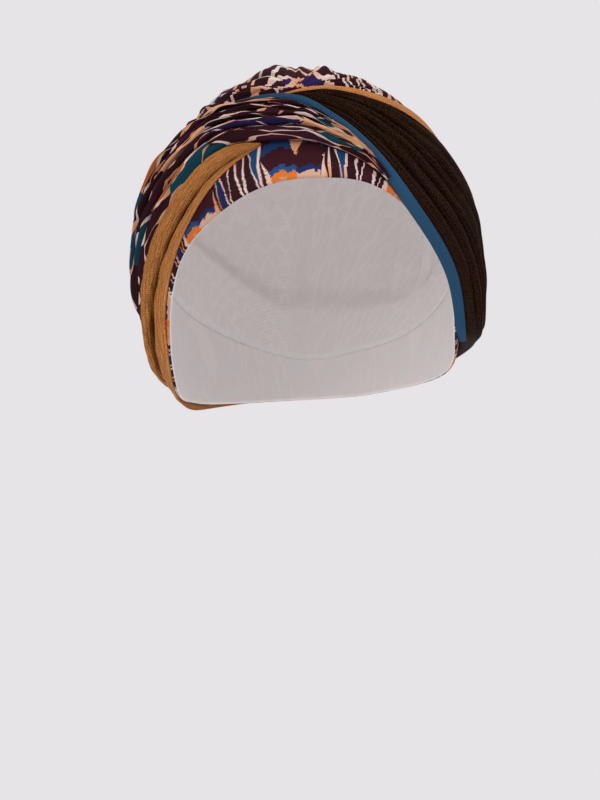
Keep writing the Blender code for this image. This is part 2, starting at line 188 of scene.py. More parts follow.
def skin(name, points, cloth, materials, inside=None, round_stations=False, round_section=True):
    """A closed skin over points [station, place in the section], with the place on the flat cloth as UV.

    A third value in cloth says how deep in a fold the point lies, for a second UV map. inside says which
    places of the section take the second material, the cloth's reverse.
    """
    stations, places = points.shape[:2]
    first = np.arange(stations if round_stations else stations - 1)[:, None]
    place = np.arange(places if round_section else places - 1)[None, :]
    after, beside = (first + 1) % stations, (place + 1) % places
    corners = [(first, place), (after, place), (after, beside), (first, beside)]
    faces = np.stack([(a * places + b) for a, b in corners], -1).reshape(-1, 4)
    uv_corners = [(first, place), (first + 1, place), (first + 1, place + 1), (first, place + 1)]
    uv = np.stack([cloth[a, b] for a, b in uv_corners], 2).reshape(-1, 4, cloth.shape[-1])
    corner = points.reshape(-1, 3)[faces]
    turned = np.cross(corner[:, 2] - corner[:, 0], corner[:, 3] - corner[:, 1])
    if (turned * corner.mean(1)).sum() < 0:
        faces, uv = faces[:, ::-1], uv[:, ::-1]
    mesh = bpy.data.meshes.new(name)
    caps = []
    if not round_stations:
        caps = [list(range(places)), list(range((stations - 1) * places, stations * places))]
    mesh.from_pydata(points.reshape(-1, 3).tolist(), [], faces.tolist() + caps)
    for layer_name, parts in (("cloth", [0, 1]), ("fold", [2, 2]))[: cloth.shape[-1] - 1]:
        layer = mesh.uv_layers.new(name=layer_name)
        flat = np.zeros((len(mesh.loops), 2), np.float32)
        flat[: 4 * len(uv)] = uv[..., parts].reshape(-1, 2)
        layer.data.foreach_set("uv", flat.ravel())
    if inside is not None:
        slots = np.zeros(len(mesh.polygons), np.int32)
        slots[: len(faces)] = np.broadcast_to(inside[None, : place.size], (first.size, place.size)).ravel()
        mesh.polygons.foreach_set("material_index", slots)
    for material in materials:
        mesh.materials.append(material)
    shape = bmesh.new()
    shape.from_mesh(mesh)
    bmesh.ops.remove_doubles(shape, verts=shape.verts, dist=1e-6)
    bmesh.ops.recalc_face_normals(shape, faces=shape.faces)
    shape.to_mesh(mesh)
    shape.free()
    mesh.shade_smooth()
    return placed(name, mesh)


def colour(code):
    """The linear colour, with alpha, of an sRGB hex code such as #A8692A."""
    parts = [int(code[place : place + 2], 16) / 255 for place in (1, 3, 5)]
    return (*[part / 12.92 if part < 0.04045 else ((part + 0.055) / 1.055) ** 2.4 for part in parts], 1)


def feed(tree, socket, value):
    """Gives an input its value, or links it to a socket or to the first output that a node shows."""
    if isinstance(value, bpy.types.Node):
        value = next(output for output in value.outputs if output.enabled)
    if isinstance(value, bpy.types.NodeSocket):
        tree.links.new(value, socket)
    else:
        socket.default_value = value


def add(tree, kind, *values, sockets=None, **settings):
    """A node with its settings, by its kind, where a plain name such as Math is a shader node.

    values feed the inputs that it shows, in order, and sockets feeds others by name.
    """
    node = tree.nodes.new(kind if "Node" in kind else f"ShaderNode{kind}")
    for name, value in settings.items():
        setattr(node, name, value)
    for socket, value in zip([socket for socket in node.inputs if socket.enabled], values):
        feed(tree, socket, value)
    for name, value in (sockets or {}).items():
        feed(tree, node.inputs[name], value)
    return node


def new_material(name, roughness, metallic=0.0, specular=0.5):
    material = bpy.data.materials.new(name)
    material.use_nodes = True
    shader = material.node_tree.nodes["Principled BSDF"]
    for name, value in {"Roughness": roughness, "Metallic": metallic, "Specular IOR Level": specular}.items():
        shader.inputs[name].default_value = value
    return material, material.node_tree, shader


# The print is an ikat: pale strokes in pairs that lean together and apart, and broad blobs that end in a comb
# of slipped threads over an orange or a peach patch. Lengths are in metres of flat cloth.
MAROON_CODE = "#2D0F17"
NAVY_CODE = "#1B2350"
CHALK_CODES = ("#D0906C", "#DDC4B9")
REVERSE_CODE = "#F1EDEB"
REVERSE_SHARE = 0.94
# Painted shade deep in the folds: its colour, and how far the colour goes towards it at the deepest.
FOLD_SHADE_CODE = "#0B0507"
FOLD_SHADE_DARKNESS = 0.75
BROW_DRIFT = 0.005
BROW_REPEAT = 0.058
STROKE_PITCH = 0.00415
STROKE_RUN = 0.026
BLOB_ROW = 0.046
BLOB_BOW = 0.16
WARM_BLOB = (
    (0.0, "#C4906F"), (0.06, "#D26E2A"), (0.14, "#1C4A7C"),
    (0.21, "#351019"), (0.43, "#17355F"), (0.55, "#351019"),
)
COOL_BLOB = ((0.0, "#C9A087"), (0.11, "#1B2A58"), (0.17, "#351019"), (0.47, "#1A4272"), (0.58, MAROON_CODE))


def stepped_colours(tree, place, rows):
    """A colour for each stretch of place from 0 to 1, with a hard edge between two stretches."""
    ramp = add(tree, "ValToRGB", place)
    ramp.color_ramp.interpolation = "CONSTANT"
    while len(ramp.color_ramp.elements) < len(rows):
        ramp.color_ramp.elements.new(0.5)
    for stop, (level, code) in zip(ramp.color_ramp.elements, rows):
        stop.position = level
        stop.color = colour(code)
    return ramp


def soft_noise(tree, flat, scale, detail=0.0, roughness=0.5):
    """Soft noise over the flat cloth, with its own count per metre each way."""
    place = add(tree, "Mapping", flat, sockets={"Scale": (*scale, 1)})
    return add(tree, "TexNoise", place, 1.0, detail, roughness, noise_dimensions="2D")


def slipped_threads(tree, across, lengthways):
    """The place along the threads, after each thread of the ikat has slipped by a little."""
    threads = add(tree, "Math", across, THREAD_PITCH, operation="DIVIDE")
    thread = add(tree, "Math", threads, operation="FLOOR")
    slip = add(tree, "TexWhiteNoise", thread, noise_dimensions="1D")
    return add(tree, "Math", slip, THREAD_SLIP, lengthways, operation="MULTIPLY_ADD")


def chalk(tree, flat):
    """The strokes' pale colour, which drifts from peach to a pinkish white."""
    share = add(tree, "MapRange", soft_noise(tree, flat, (60, 45)), 0.4, 0.6)
    return add(tree, "Mix", share, *map(colour, CHALK_CODES), data_type="RGBA")


def turn_about(tree, number):
    """1 for an even number and -1 for an odd one."""
    half_turns = add(tree, "Math", number, math.pi, operation="MULTIPLY")
    return add(tree, "Math", half_turns, operation="COSINE")


def ikat_strokes(tree, flat, across, lengthways, pitch, run, sway, widths, grounds):
    """Pale strokes, one to each pitch, that lean to their neighbours and away in turn, each run of the cloth.

    The ground between two strokes changes colour where they come close, at an edge of slipped threads.
    """
    places = add(tree, "Math", across, pitch, operation="DIVIDE")
    number = add(tree, "Math", places, operation="FLOOR")
    inside = add(tree, "Math", places, operation="FRACT")
    to_and_fro = add(tree, "Math", lengthways, run, operation="PINGPONG")
    swing = add(tree, "Math", to_and_fro, 2 / run, -1.0, operation="MULTIPLY_ADD")
    swayed = add(tree, "Math", swing, turn_about(tree, number), operation="MULTIPLY")
    middle = add(tree, "Math", swayed, sway, 0.5, operation="MULTIPLY_ADD")
    off_middle = add(tree, "Math", inside, middle, operation="SUBTRACT")
    distance = add(tree, "Math", off_middle, operation="ABSOLUTE")
    swell = soft_noise(tree, flat, (0.8 / pitch, 1.3 / run))
    width = add(tree, "MapRange", swell, 0.3, 0.7, *widths)
    stroke = add(tree, "Math", distance, width, operation="LESS_THAN")

    gap_places = add(tree, "Math", places, 0.5, operation="SUBTRACT")
    gap = add(tree, "Math", gap_places, operation="FLOOR")
    slipped = slipped_threads(tree, across, lengthways)
    runs = add(tree, "Math", slipped, 0.5 / run, 0.25, operation="MULTIPLY_ADD")
    staggered = add(tree, "Math", turn_about(tree, gap), 0.25, runs, operation="MULTIPLY_ADD")
    lens = add(tree, "Math", staggered, operation="FLOOR")
    key = add(tree, "CombineXYZ", gap, lens)
    chance = add(tree, "TexWhiteNoise", key, noise_dimensions="2D")
    ground = stepped_colours(tree, chance, grounds)
    return add(tree, "Mix", stroke, ground, chalk(tree, flat), data_type="RGBA")


def strokes_and_blobs(tree, flat):
    """The brow band's part of the print: a run of strokes, then two blobs, again and again round the rim."""
    round_rim, from_rim = add(tree, "SeparateXYZ", flat).outputs[:2]
    drift = soft_noise(tree, flat, (60, 50), detail=1.0)
    across = add(tree, "Math", drift, BROW_DRIFT, round_rim, operation="MULTIPLY_ADD")
    grounds = ((0.0, MAROON_CODE), (0.55, "#3A1420"), (0.8, NAVY_CODE), (0.93, "#163F66"))
    strokes = ikat_strokes(
        tree, flat, across, from_rim, STROKE_PITCH, STROKE_RUN, sway=0.27, widths=(0.05, 0.18), grounds=grounds
    )
    repeats = add(tree, "Math", across, BROW_REPEAT, operation="DIVIDE")
    repeat = add(tree, "Math", repeats, operation="FRACT")
    in_blobs = add(tree, "Math", repeat, 0.5, operation="GREATER_THAN")
    blob_places = add(tree, "Math", repeats, 4.0, operation="MULTIPLY")
    number = add(tree, "Math", blob_places, operation="FLOOR")
    inside = add(tree, "Math", blob_places, operation="FRACT")
    aside = add(tree, "Math", inside, 0.5, operation="SUBTRACT")
    bow = add(tree, "Math", aside, aside, operation="MULTIPLY")
    slipped = slipped_threads(tree, round_rim, from_rim)
    rows = add(tree, "Math", slipped, 1 / BLOB_ROW, operation="MULTIPLY")
    bowed = add(tree, "Math", bow, BLOB_BOW, rows, operation="MULTIPLY_ADD")
    row = add(tree, "Math", bowed, operation="FRACT")
    halves = add(tree, "Math", number, 0.5, operation="MULTIPLY")
    cool = add(tree, "Math", halves, operation="FRACT")
    is_cool = add(tree, "Math", cool, 0.25, operation="GREATER_THAN")
    warm_blob, cool_blob = (stepped_colours(tree, row, blob) for blob in (WARM_BLOB, COOL_BLOB))
    blobs = add(tree, "Mix", is_cool, warm_blob, cool_blob, data_type="RGBA")
    # A pale wedge stands on the rim at each end of the two blobs, and another hangs between them.
    zone = add(tree, "Math", repeat, 0.75, operation="SUBTRACT")
    from_between = add(tree, "Math", zone, operation="ABSOLUTE")
    hanging = add(tree, "MapRange", from_rim, 0.013, 0.027, 0.0, 0.085)
    hangs = add(tree, "Math", from_between, hanging, operation="LESS_THAN")
    from_end = add(tree, "Math", 0.25, from_between, operation="SUBTRACT")
    standing = add(tree, "MapRange", from_rim, 0.0, 0.014, 0.05, 0.0)
    stands = add(tree, "Math", from_end, standing, operation="LESS_THAN")
    wedge = add(tree, "Math", hangs, stands, operation="MAXIMUM")
    wedged = add(tree, "Mix", wedge, blobs, chalk(tree, flat), data_type="RGBA")
    return add(tree, "Mix", in_blobs, strokes, wedged, data_type="RGBA")


def painted_fold_shade(tree, shown):
    """Paints shade into the colour deep in a fold, as deep as the fold UV map says the point lies: painted
    shade for the shadow inside the fold.
    """
    depth = add(tree, "SeparateXYZ", add(tree, "UVMap", uv_map="fold"))
    share = add(tree, "MapRange", depth, 0.12, 0.5, 0.0, FOLD_SHADE_DARKNESS)
    return add(tree, "Mix", share, shown, colour(FOLD_SHADE_CODE), data_type="RGBA")


def fine_ridges(tree, place, pitch):
    """The height of round ridges across a place on the cloth, one to each pitch."""
    turns = add(tree, "Math", place, math.tau / pitch, operation="MULTIPLY")
    return add(tree, "Math", turns, operation="SINE")


def raise_surface(tree, shader, height, strength, distance):
    bump = add(tree, "Bump", sockets={"Height": height, "Strength": strength, "Distance": distance})
    feed(tree, shader.inputs["Normal"], bump)


def jersey(name, roughness, specular):
    """Viscose jersey, matt with hardly a gloss, and its fine wales raised.

    Real wales are about 0.6 mm apart; they are drawn at JERSEY_WALE, so that they show. UV runs across the
    threads in U and along them in V, in metres of flat cloth.
    """
    material, tree, shader = new_material(name, roughness=roughness, specular=specular)
    flat = add(tree, "UVMap", uv_map="cloth")
    across = add(tree, "SeparateXYZ", flat)
    raise_surface(tree, shader, fine_ridges(tree, across, JERSEY_WALE), 0.25, JERSEY_WALE_RELIEF)
    return material, tree, shader, flat


def printed_jersey(name, motif, reverse=False, folded=False):
    """Jersey printed on its face with a thread-slipped ikat pattern; hardly any of it comes through."""
    material, tree, shader, flat = jersey(name, roughness=0.85, specular=0.12)
    shown = motif(tree, flat)
    if reverse:
        shown = add(tree, "Mix", REVERSE_SHARE, shown, colour(REVERSE_CODE), data_type="RGBA")
    # folded paints shade into the colour deep in the folds.
    if folded:
        shown = painted_fold_shade(tree, shown)
    feed(tree, shader.inputs["Base Color"], shown)
    return material


brow_cloth = "printed viscose jersey, strokes and blobs"
brow_face = printed_jersey(brow_cloth, strokes_and_blobs)
brow_reverse = printed_jersey(f"{brow_cloth}, reverse", strokes_and_blobs, reverse=True)


def square_to_rim(points, rim_points, round_rim):
    """Each point's place on the flat band: how far round the rim its nearest point is, and how far off."""
    flat = points.reshape(-1, 3)
    places = np.zeros(len(flat))
    gaps = np.zeros(len(flat))
    at_once = 2000
    for first in range(0, len(flat), at_once):
        some = flat[first : first + at_once]
        apart = np.linalg.norm(some[:, None] - rim_points[None, :-1], axis=-1)
        nearest = apart.argmin(1)
        places[first : first + at_once] = round_rim[nearest]
        gaps[first : first + at_once] = apart[np.arange(len(some)), nearest]
    places = places.reshape(points.shape[:2])
    turn = round_rim[-1]
    places = places + turn * np.round((round_rim[None, :] - places) / turn)
    return np.stack([places, gaps.reshape(points.shape[:2])], -1)


def make_brow_band():
    stations = np.linspace(0, STATIONS_ROUND, BROW_COLUMNS + 1)
    seam = line(SEAM, stations, -SEAM_GAP / 2)
    rim = line(RIM, stations)
    rim_points = on_head(rim, 0)
    width = np.linalg.norm(on_head(seam, 0) - rim_points, axis=-1) * BROW_CURVE
    hem = np.linspace(0, HEM_WIDTH, HEM_ROWS)
    above_hem = np.linspace(0, 1, BROW_ROWS)[:-1, None] * (1 - HEM_WIDTH / width)
    shares = np.concatenate([above_hem, 1 - hem[::-1, None] / width])
    from_rim = (1 - shares) * width
    in_hem = smooth_step(HEM_WIDTH, HEM_WIDTH * 0.8, from_rim)
    stitched = np.exp(-(((from_rim - STITCH_FROM_RIM) / STITCH_GROOVE_WIDTH) ** 2))
    rounded = np.sqrt(np.clip(1 - (1 - np.clip(from_rim / RIM_ROUNDING, 0, 1)) ** 2, 0, 1))
    ways = between(seam[None], rim[None], shares[..., None])
    outer = on_head(ways, CAP_WALL * (0.5 + 0.5 * rounded) + HEM_SWELL * in_hem - STITCH_GROOVE * stitched)
    inner = on_head(ways, CAP_WALL * 0.5 * (1 - rounded))
    section = np.concatenate([outer, inner[::-1]]).transpose(1, 0, 2)
    cloth = square_to_rim(outer, rim_points, travelled(rim_points))
    cloth = np.concatenate([cloth, cloth[::-1], cloth[:1]]).transpose(1, 0, 2)
    inside = np.arange(section.shape[1]) >= len(shares)
    return skin("brow_band_jersey", section[:-1], cloth, (brow_face, brow_reverse), inside, round_stations=True)


brow_band = make_brow_band()
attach(brow_band, "root")
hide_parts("brow_band")

# The coverstitch that holds the hem: two rows of short raised stitches in dark polyester thread. The real
# thread is about 0.2 mm thick, and is drawn at 0.3 mm, so that it shows.
STITCH_ROWS_FROM_RIM = (0.0052, 0.0074)
STITCH_LENGTH = 0.0024
STITCH_PITCH = 0.0031
STITCH_THICKNESS = 0.00030
THREAD_CODE = "#43222A"


def stitch_rows():
    """Two closed lines of points on the hem, as one wire mesh."""
    stations = np.linspace(0, STATIONS_ROUND, BROW_COLUMNS + 1)[:-1]
    points, edges = [], []
    for from_rim in STITCH_ROWS_FROM_RIM:
        numbers = len(points) + np.arange(len(stations))
        points += on_head(line(RIM, stations, from_rim), CAP_WALL + HEM_SWELL / 2).tolist()
        edges += np.stack([numbers, np.roll(numbers, -1)], -1).tolist()
    mesh = bpy.data.meshes.new("hem_stitches")
    mesh.from_pydata(points, edges, [])
    return placed("hem_stitches", mesh)


def stitch_tree():
    """Sets one slim stitch at each pitch along a wire, turned along it."""
    tree = bpy.data.node_groups.new("stitches along a line", "GeometryNodeTree")
    sizes = dict.fromkeys(("Pitch", "Length", "Thickness"), "Float")
    for name, kind in {"Line": "Geometry", **sizes, "Thread": "Material"}.items():
        tree.interface.new_socket(name=name, in_out="INPUT", socket_type=f"NodeSocket{kind}")
    tree.interface.new_socket(name="Stitches", in_out="OUTPUT", socket_type="NodeSocketGeometry")
    wire, pitch, length, thickness, thread = add(tree, "NodeGroupInput").outputs[:5]
    curve = add(tree, "GeometryNodeMeshToCurve", wire)
    spaced = add(tree, "GeometryNodeResampleCurve", sockets={"Curve": curve, "Length": pitch}, mode="LENGTH")
    tangent = add(tree, "GeometryNodeInputTangent")
    turned = add(tree, "FunctionNodeAlignRotationToVector", sockets={"Vector": tangent}, axis="Z")
    bead = add(tree, "GeometryNodeMeshIcoSphere", 0.5, 1)
    size = add(tree, "CombineXYZ", thickness, thickness, length)
    places = {"Points": spaced, "Instance": bead, "Rotation": turned, "Scale": size}
    copies = add(tree, "GeometryNodeInstanceOnPoints", sockets=places)
    solid = add(tree, "GeometryNodeRealizeInstances", copies)
    coloured = add(tree, "GeometryNodeSetMaterial", sockets={"Geometry": solid, "Material": thread})
    add(tree, "NodeGroupOutput", coloured)
    return tree


def plain_mesh(thing, tree, inputs):
    """Runs a tree on an object, then keeps its result as the object's own mesh."""
    modifier = thing.modifiers.new(tree.name, "NODES")
    modifier.node_group = tree
    for item in tree.interface.items_tree:
        if item.in_out == "INPUT" and item.name in inputs:
            modifier[item.identifier] = inputs[item.name]
    graph = bpy.context.evaluated_depsgraph_get()
    mesh = bpy.data.meshes.new_from_object(thing.evaluated_get(graph))
    thing.modifiers.remove(modifier)
    thing.data = mesh
    mesh.shade_smooth()


thread, _, thread_shader = new_material("polyester sewing thread", roughness=0.6, specular=0.3)
thread_shader.inputs["Base Color"].default_value = colour(THREAD_CODE)
stitches = stitch_rows()
plain_mesh(
    stitches,
    stitch_tree(),
    {"Pitch": STITCH_PITCH, "Length": STITCH_LENGTH, "Thickness": STITCH_THICKNESS, "Thread": thread},
)
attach(stitches, "root")

# The crown: one wide piece of the same jersey, gathered tight where the wraps twist over the forehead and
# fanning out from there in soft folds to the back. It is one layer, eased over the head, and its edge is
# sewn into the seam under the wraps.
CROWN_EASE = 0.0052
CROWN_FOLD = 0.0034
GATHER_LON = -15
GATHER_LAT = 65
GATHER_RISE_DEG = 18
GATHER_EASE_SHARE = 0.4
CROWN_SETTLE_DEG = 9
BORDER_GATHERS = 26
BORDER_GATHER_HEIGHT = 0.0009
BORDER_GATHER_LON = 38
SHOULDER_FOLDS = 62
SHOULDER_FOLD_HEIGHT = 0.0007
SHOULDER_LON = -84
SHOULDER_LAT = 58
TUCK_LON = 10
TUCK_LAT = 80
TUCK_HEIGHT = 0.0030
TUCK_SPREAD_DEG = 2.4
CLOTH_TOP_LAT = 80
CLOTH_SHARE_SIDEWAYS = 0.8
CLOTH_SHARE_FORWARD = 0.45
CROWN_PIVOT = 0.006
CROWN_CLOTH_TURN_DEG = 62
CROWN_TURN_FROM = 0.002
CROWN_TURN_TO = 0.024
ZIGZAG_PITCH = 0.0047
ZIGZAG_RUN = 0.0065
ZIGZAG_DRIFT = 0.006
ZIGZAG_DRIFT_ALONG = 0.008
# How strong the painted shade in the crown's folds is.
CROWN_FOLD_SHADE = 0.6
CROWN_COLUMNS = 480
CROWN_ROWS = 94
HIDDEN_ROWS = 6
BLUE_EDGE_WIDTH = 0.0050
TAN_BORDER_WIDTH = 0.0070
FOLD_ROUNDNESS = 0.62

EDGE = table(
    "station lon lat blue_width blue_thick",
    (0, -BACK_LON, -11, 0.3, 0.5),
    (1, -130, 20, 0.3, 0.7),
    (2, -92, 45, 0.4, 0.9),
    (3, -57, 56, 0.5, 0.95),
    (4, -24, 58, 0.6, 1.0),
    (5, -4, 52, 0.85, 1.05),
    (6, 10.5, 41, 1.0, 1.05),
    (7, 26, 22.5, 1.0, 1.0),
    (8, 43.5, 3.5, 0.85, 1.0),
    (9, 57.5, -16.5, 0.5, 0.9),
    (10, 82, -23.5, 0.0, 0.5),
    (11, 126, -33.5, 0.0, 0.5),
    (12, BACK_LON, -38.5, 0.0, 0.5),
)
BROWN_BAND = table(
    "station lon lat thick pleat border",
    (4, -23, 60, 0.35, 0.4, 0.1),
    (4.5, -12.5, 61, 0.5, 0.7, 0.5),
    (5, -2, 61.5, 0.62, 0.9, 0.8),
    (6, 26, 58.5, 0.72, 1.0, 1.2),
    (7, 60, 49, 0.74, 1.0, 1.8),
    (8, 88, 27, 0.9, 1.0, 1.8),
    (9, 107, 2, 1.0, 1.0, 1.3),
    (10, 127, -9.5, 0.9, 0.9, 1.0),
    (11, 153, -13.5, 0.75, 0.7, 0.8),
    (12, BACK_LON, -13, 0.6, 0.6, 0.8),
)
CROWN_FOLDS = table(
    "station height ease",
    (0.0, 0.85, 1.0),
    (0.45, 0.6, 0.85),
    (0.85, 0.5, 0.7),
    (1.2, 0.4, 0.5),
    (1.55, 0.6, 0.65),
    (1.9, 0.8, 0.9),
    (2.25, 0.7, 1.0),
    (2.65, 1.0, 1.05),
    (3.05, 0.8, 1.0),
    (3.45, 0.9, 1.0),
    (4.1, 0.5, 0.9),
    (5.4, 0.7, 0.4),
    (6.15, 0.5, 0.1),
    (6.7, 0.4, 0.0),
    (7.3, 0.35, 0.0),
    (8.0, 0.4, 0.12),
    (8.7, 0.5, 0.25),
    (9.4, 0.5, 0.28),
    (10.0, 0.3, 0.25),
    (10.6, 0.4, 0.6),
    (11.3, 0.25, 0.75),
    (12.0, 0.85, 1.0),
)
# Gathers between the folds, close to the twist, and slow lumps along them: turns round the gather, waves
# from the gather to the wraps, phase and height.
CROWN_WAVES = table(
    "round outward phase height",
    (31, 1.4, 0.3, 0.0005),
    (47, 2.1, 1.9, 0.0004),
    (9, 2.6, 4.0, 0.0009),
    (5, 3.7, 2.2, 0.0007),
    (14, 4.6, 5.1, 0.0006),
    (67, 0.9, 0.7, 0.0002),
)


def waves(rows, first, second):
    """The sum of a table's waves at places given by two numbers."""
    total = np.zeros(np.broadcast(first, second).shape)
    for along_first, along_second, phase, height in zip(*rows.values()):
        total += height * np.sin(along_first * first + along_second * second + phase)
    return total


def degrees_apart(ways, others):
    return np.degrees(np.arccos(np.clip((ways * others).sum(-1), -1, 1)))


def blue_outer_line(station, aside):
    return line(EDGE, station, BLUE_EDGE_WIDTH * np.maximum(along(EDGE, "blue_width", station), 0) + aside)


def border_outer_line(station, aside):
    return line(BROWN_BAND, station, TAN_BORDER_WIDTH * along(BROWN_BAND, "border", station) + aside)


def wraps_top_line(station):
    left = blue_outer_line(station, CLEARANCE)
    right = border_outer_line(np.maximum(station, TWIST_STATION), CLEARANCE)
    return np.where((station < TWIST_STATION)[..., None], left, right)


def zigzags(tree, flat):
    """The crown's part of the print: close waves of strokes with diamonds of teal, purple and orange."""
    sideways, forward = add(tree, "SeparateXYZ", flat).outputs[:2]
    drift = soft_noise(tree, flat, (70, 70), detail=1.0)
    across = add(tree, "Math", drift, ZIGZAG_DRIFT, sideways, operation="MULTIPLY_ADD")
    aside = drift.outputs["Color"]
    lengthways = add(tree, "Math", aside, ZIGZAG_DRIFT_ALONG, forward, operation="MULTIPLY_ADD")
    grounds = (
        (0.0, MAROON_CODE), (0.5, "#381221"), (0.66, "#0E4455"),
        (0.78, "#291C4C"), (0.88, "#D0763A"), (0.93, MAROON_CODE),
    )
    return ikat_strokes(
        tree, flat, across, lengthways, ZIGZAG_PITCH, ZIGZAG_RUN, sway=0.3, widths=(0.11, 0.25), grounds=grounds
    )


crown_cloth = "printed viscose jersey, zigzags"
crown_face = printed_jersey(crown_cloth, zigzags, folded=True)
crown_reverse = printed_jersey(f"{crown_cloth}, reverse", zigzags, reverse=True)


def flat_crown(ways):
    """Where each direction lies on the flat cloth, spread out from the top of the head.

    The cloth is drawn out from front to back, less so sideways. On the wearer's left the gathers pull it
    round, so that its strokes run up from the border.
    """
    top = direction(0, CLOTH_TOP_LAT)
    side = unit(np.cross([0, 1.0, 0], top))
    front = np.cross(side, top)
    turn = np.radians(degrees_apart(ways, top))
    sideways, forward = ways @ side, ways @ front
    stretch = CROWN_RISE * turn / np.maximum(np.hypot(sideways, forward), 1e-9)
    sideways, forward = CLOTH_SHARE_SIDEWAYS * stretch * sideways, CLOTH_SHARE_FORWARD * stretch * forward
    turned = np.radians(CROWN_CLOTH_TURN_DEG) * smooth_step(CROWN_TURN_FROM, CROWN_TURN_TO, sideways)
    forward = forward - CROWN_PIVOT
    across = forward * np.cos(turned) - sideways * np.sin(turned)
    return np.stack([across, sideways * np.cos(turned) + forward * np.sin(turned)], -1)


def make_crown():
    stations = np.linspace(0, STATIONS_ROUND, CROWN_COLUMNS + 1)
    starts = CROWN_FOLDS["station"]
    fold = np.clip(np.searchsorted(starts, stations, side="right") - 1, 0, len(starts) - 2)
    within = (stations - starts[fold]) / (starts[fold + 1] - starts[fold])
    gather = direction(GATHER_LON, GATHER_LAT)
    top_line = wraps_top_line(stations)
    seam = line(SEAM, stations, SEAM_GAP / 2)
    shares = np.linspace(0, 1, CROWN_ROWS) ** 1.3
    ways = [between(gather, top_line, share) for share in shares]
    ways += [between(top_line, seam, share) for share in np.linspace(0, 1, HIDDEN_ROWS + 1)[1:]]
    ways = np.array(ways)
    from_gather = degrees_apart(ways, gather)
    from_wraps = degrees_apart(ways, top_line)
    from_wraps[CROWN_ROWS:] = 0
    swell = smooth_step(-GATHER_RISE_DEG / 2, GATHER_RISE_DEG, from_gather)
    swell = swell * smooth_step(0, CROWN_SETTLE_DEG, from_wraps)
    outward = np.concatenate([shares, np.ones(HIDDEN_ROWS)])[:, None]
    lean = 0.12 * np.sin(math.tau * (outward * 1.3 + stations / 3.1))
    leaned = np.clip(within + lean * np.sin(math.pi * within), 0, 1)
    ridges = np.sin(math.pi * leaned) ** FOLD_ROUNDNESS
    fold_height = CROWN_FOLDS["height"][fold]
    ease = np.interp(stations, starts, CROWN_FOLDS["ease"])
    turn = stations / STATIONS_ROUND * math.tau
    near_gather = 0.35 + 0.65 * np.exp(-from_gather / 38)
    wrinkles = waves(CROWN_WAVES, turn[None, :], outward * math.tau) * near_gather
    lon = np.degrees(np.arctan2(ways[..., 0], -ways[..., 1]))
    lat = np.degrees(np.arcsin(ways[..., 2]))
    by_border = np.exp(-(((lon - BORDER_GATHER_LON) / 34) ** 2) - (from_wraps / 17) ** 2)
    gathers = BORDER_GATHER_HEIGHT * by_border * np.sin(np.radians(lon) * BORDER_GATHERS + 0.4)
    by_shoulder = np.exp(-(((lon - SHOULDER_LON) / 26) ** 2) - ((lat - SHOULDER_LAT) / 12) ** 2)
    bend = np.radians(lat + 0.12 * (lon - SHOULDER_LON))
    gathers = gathers + SHOULDER_FOLD_HEIGHT * by_shoulder * np.sin(bend * SHOULDER_FOLDS)
    from_tuck = degrees_apart(ways, direction(TUCK_LON, TUCK_LAT))
    tuck = TUCK_HEIGHT * np.exp(-((from_tuck / TUCK_SPREAD_DEG) ** 2))
    height = swell * (CROWN_EASE * ease + CROWN_FOLD * ridges * fold_height + wrinkles) + gathers + tuck
    height = np.maximum(height, 0)
    height[0] = GATHER_EASE_SHARE * CROWN_EASE
    inner = on_head(ways, height)
    outer = on_head(ways, height + CAP_WALL)
    section = np.concatenate([outer, inner[::-1]]).transpose(1, 0, 2)
    # How deep each point lies in a fold, for the painted shade there.
    depth = CROWN_FOLD_SHADE * swell * (1 - ridges) * fold_height
    cloth = np.concatenate([flat_crown(ways), depth[..., None]], -1)
    cloth = np.concatenate([cloth, cloth[::-1]]).transpose(1, 0, 2)
    inside = np.arange(section.shape[1]) >= len(ways)
    cloths = (crown_face, crown_reverse)
    return skin("crown_jersey", section[:-1], cloth, cloths, inside, round_stations=True, round_section=False)


crown = make_crown()
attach(crown, "root")
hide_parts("crown")

# The tan wrap: a broad strip of rib knit with a metallic thread, laid in rolls up the wearer's right side
# of the face. It narrows to the forehead, where it passes under the crossing.
ON_CAP = CAP_WALL + CLEARANCE
TAN_TIP_STATION = 3.7
TAN_SECTIONS = 420
WALL_TURN = 0.05
BAND_EDGE_ROUNDNESS = 4
PLEAT_WANDER = 0.022
PLEAT_FADE = 0.3
HEM_RIBS = 4
HEM_RIBS_SHARE = 0.2
HEM_RIB_HEIGHT = 0.00035
HEM_RIBS_FROM_FOLD = 0.05
KNIT_WALE = 0.0013
KNIT_COURSE = 0.0012
KNIT_RELIEF = 0.00025
STREAKS_PER_METRE = 1500
SPECKS_PER_METRE = (2300, 1900)

PRINT_BAND = table(
    "station lon lat thick pleat",
    (0, -BACK_LON, -28, 0.55, 0.6),
    (1, -108, -17, 0.95, 0.9),
    (2, -73, 22, 1.0, 1.0),
    (3, -46.5, 42.5, 0.85, 1.0),
    (4, -20, 44, 0.68, 0.8),
    (5, -2, 42, 0.6, 0.8),
    (6, 12, 36.5, 0.48, 0.8),
    (6.5, 17.5, 32, 0.3, 0.6),
)
TAN_BAND = table(
    "station lon lat thick pleat",
    (0, -BACK_LON, -40, 0.65, 0.6),
    (0.5, -116, -46, 0.65, 0.7),
    (1, -83, -33, 0.85, 1.0),
    (1.5, -73, -7, 1.0, 1.0),
    (2, -63.5, 11, 0.85, 1.0),
    (2.5, -53.5, 25, 0.75, 1.0),
    (3, -44.5, 34.3, 0.65, 0.9),
    (3.5, -34, 41, 0.38, 0.7),
    (3.7, -29.5, 43, 0.2, 0.5),
)
TAN_PLEATS = table(
    "first last depth crest",
    (0.0, 0.0, 0.0, 0.38),
    (0.42, 0.06, 0.95, 1.0),
    (0.72, 0.72, 0.12, 0.98),
    (1.0, 1.0, 0.0, 0.98),
)
TAN_WAVES = table(
    "across along phase height",
    (44, 3, 0.0, 0.00016),
    (19, 7, 1.4, 0.00022),
    (7, 13, 3.0, 0.00025),
)


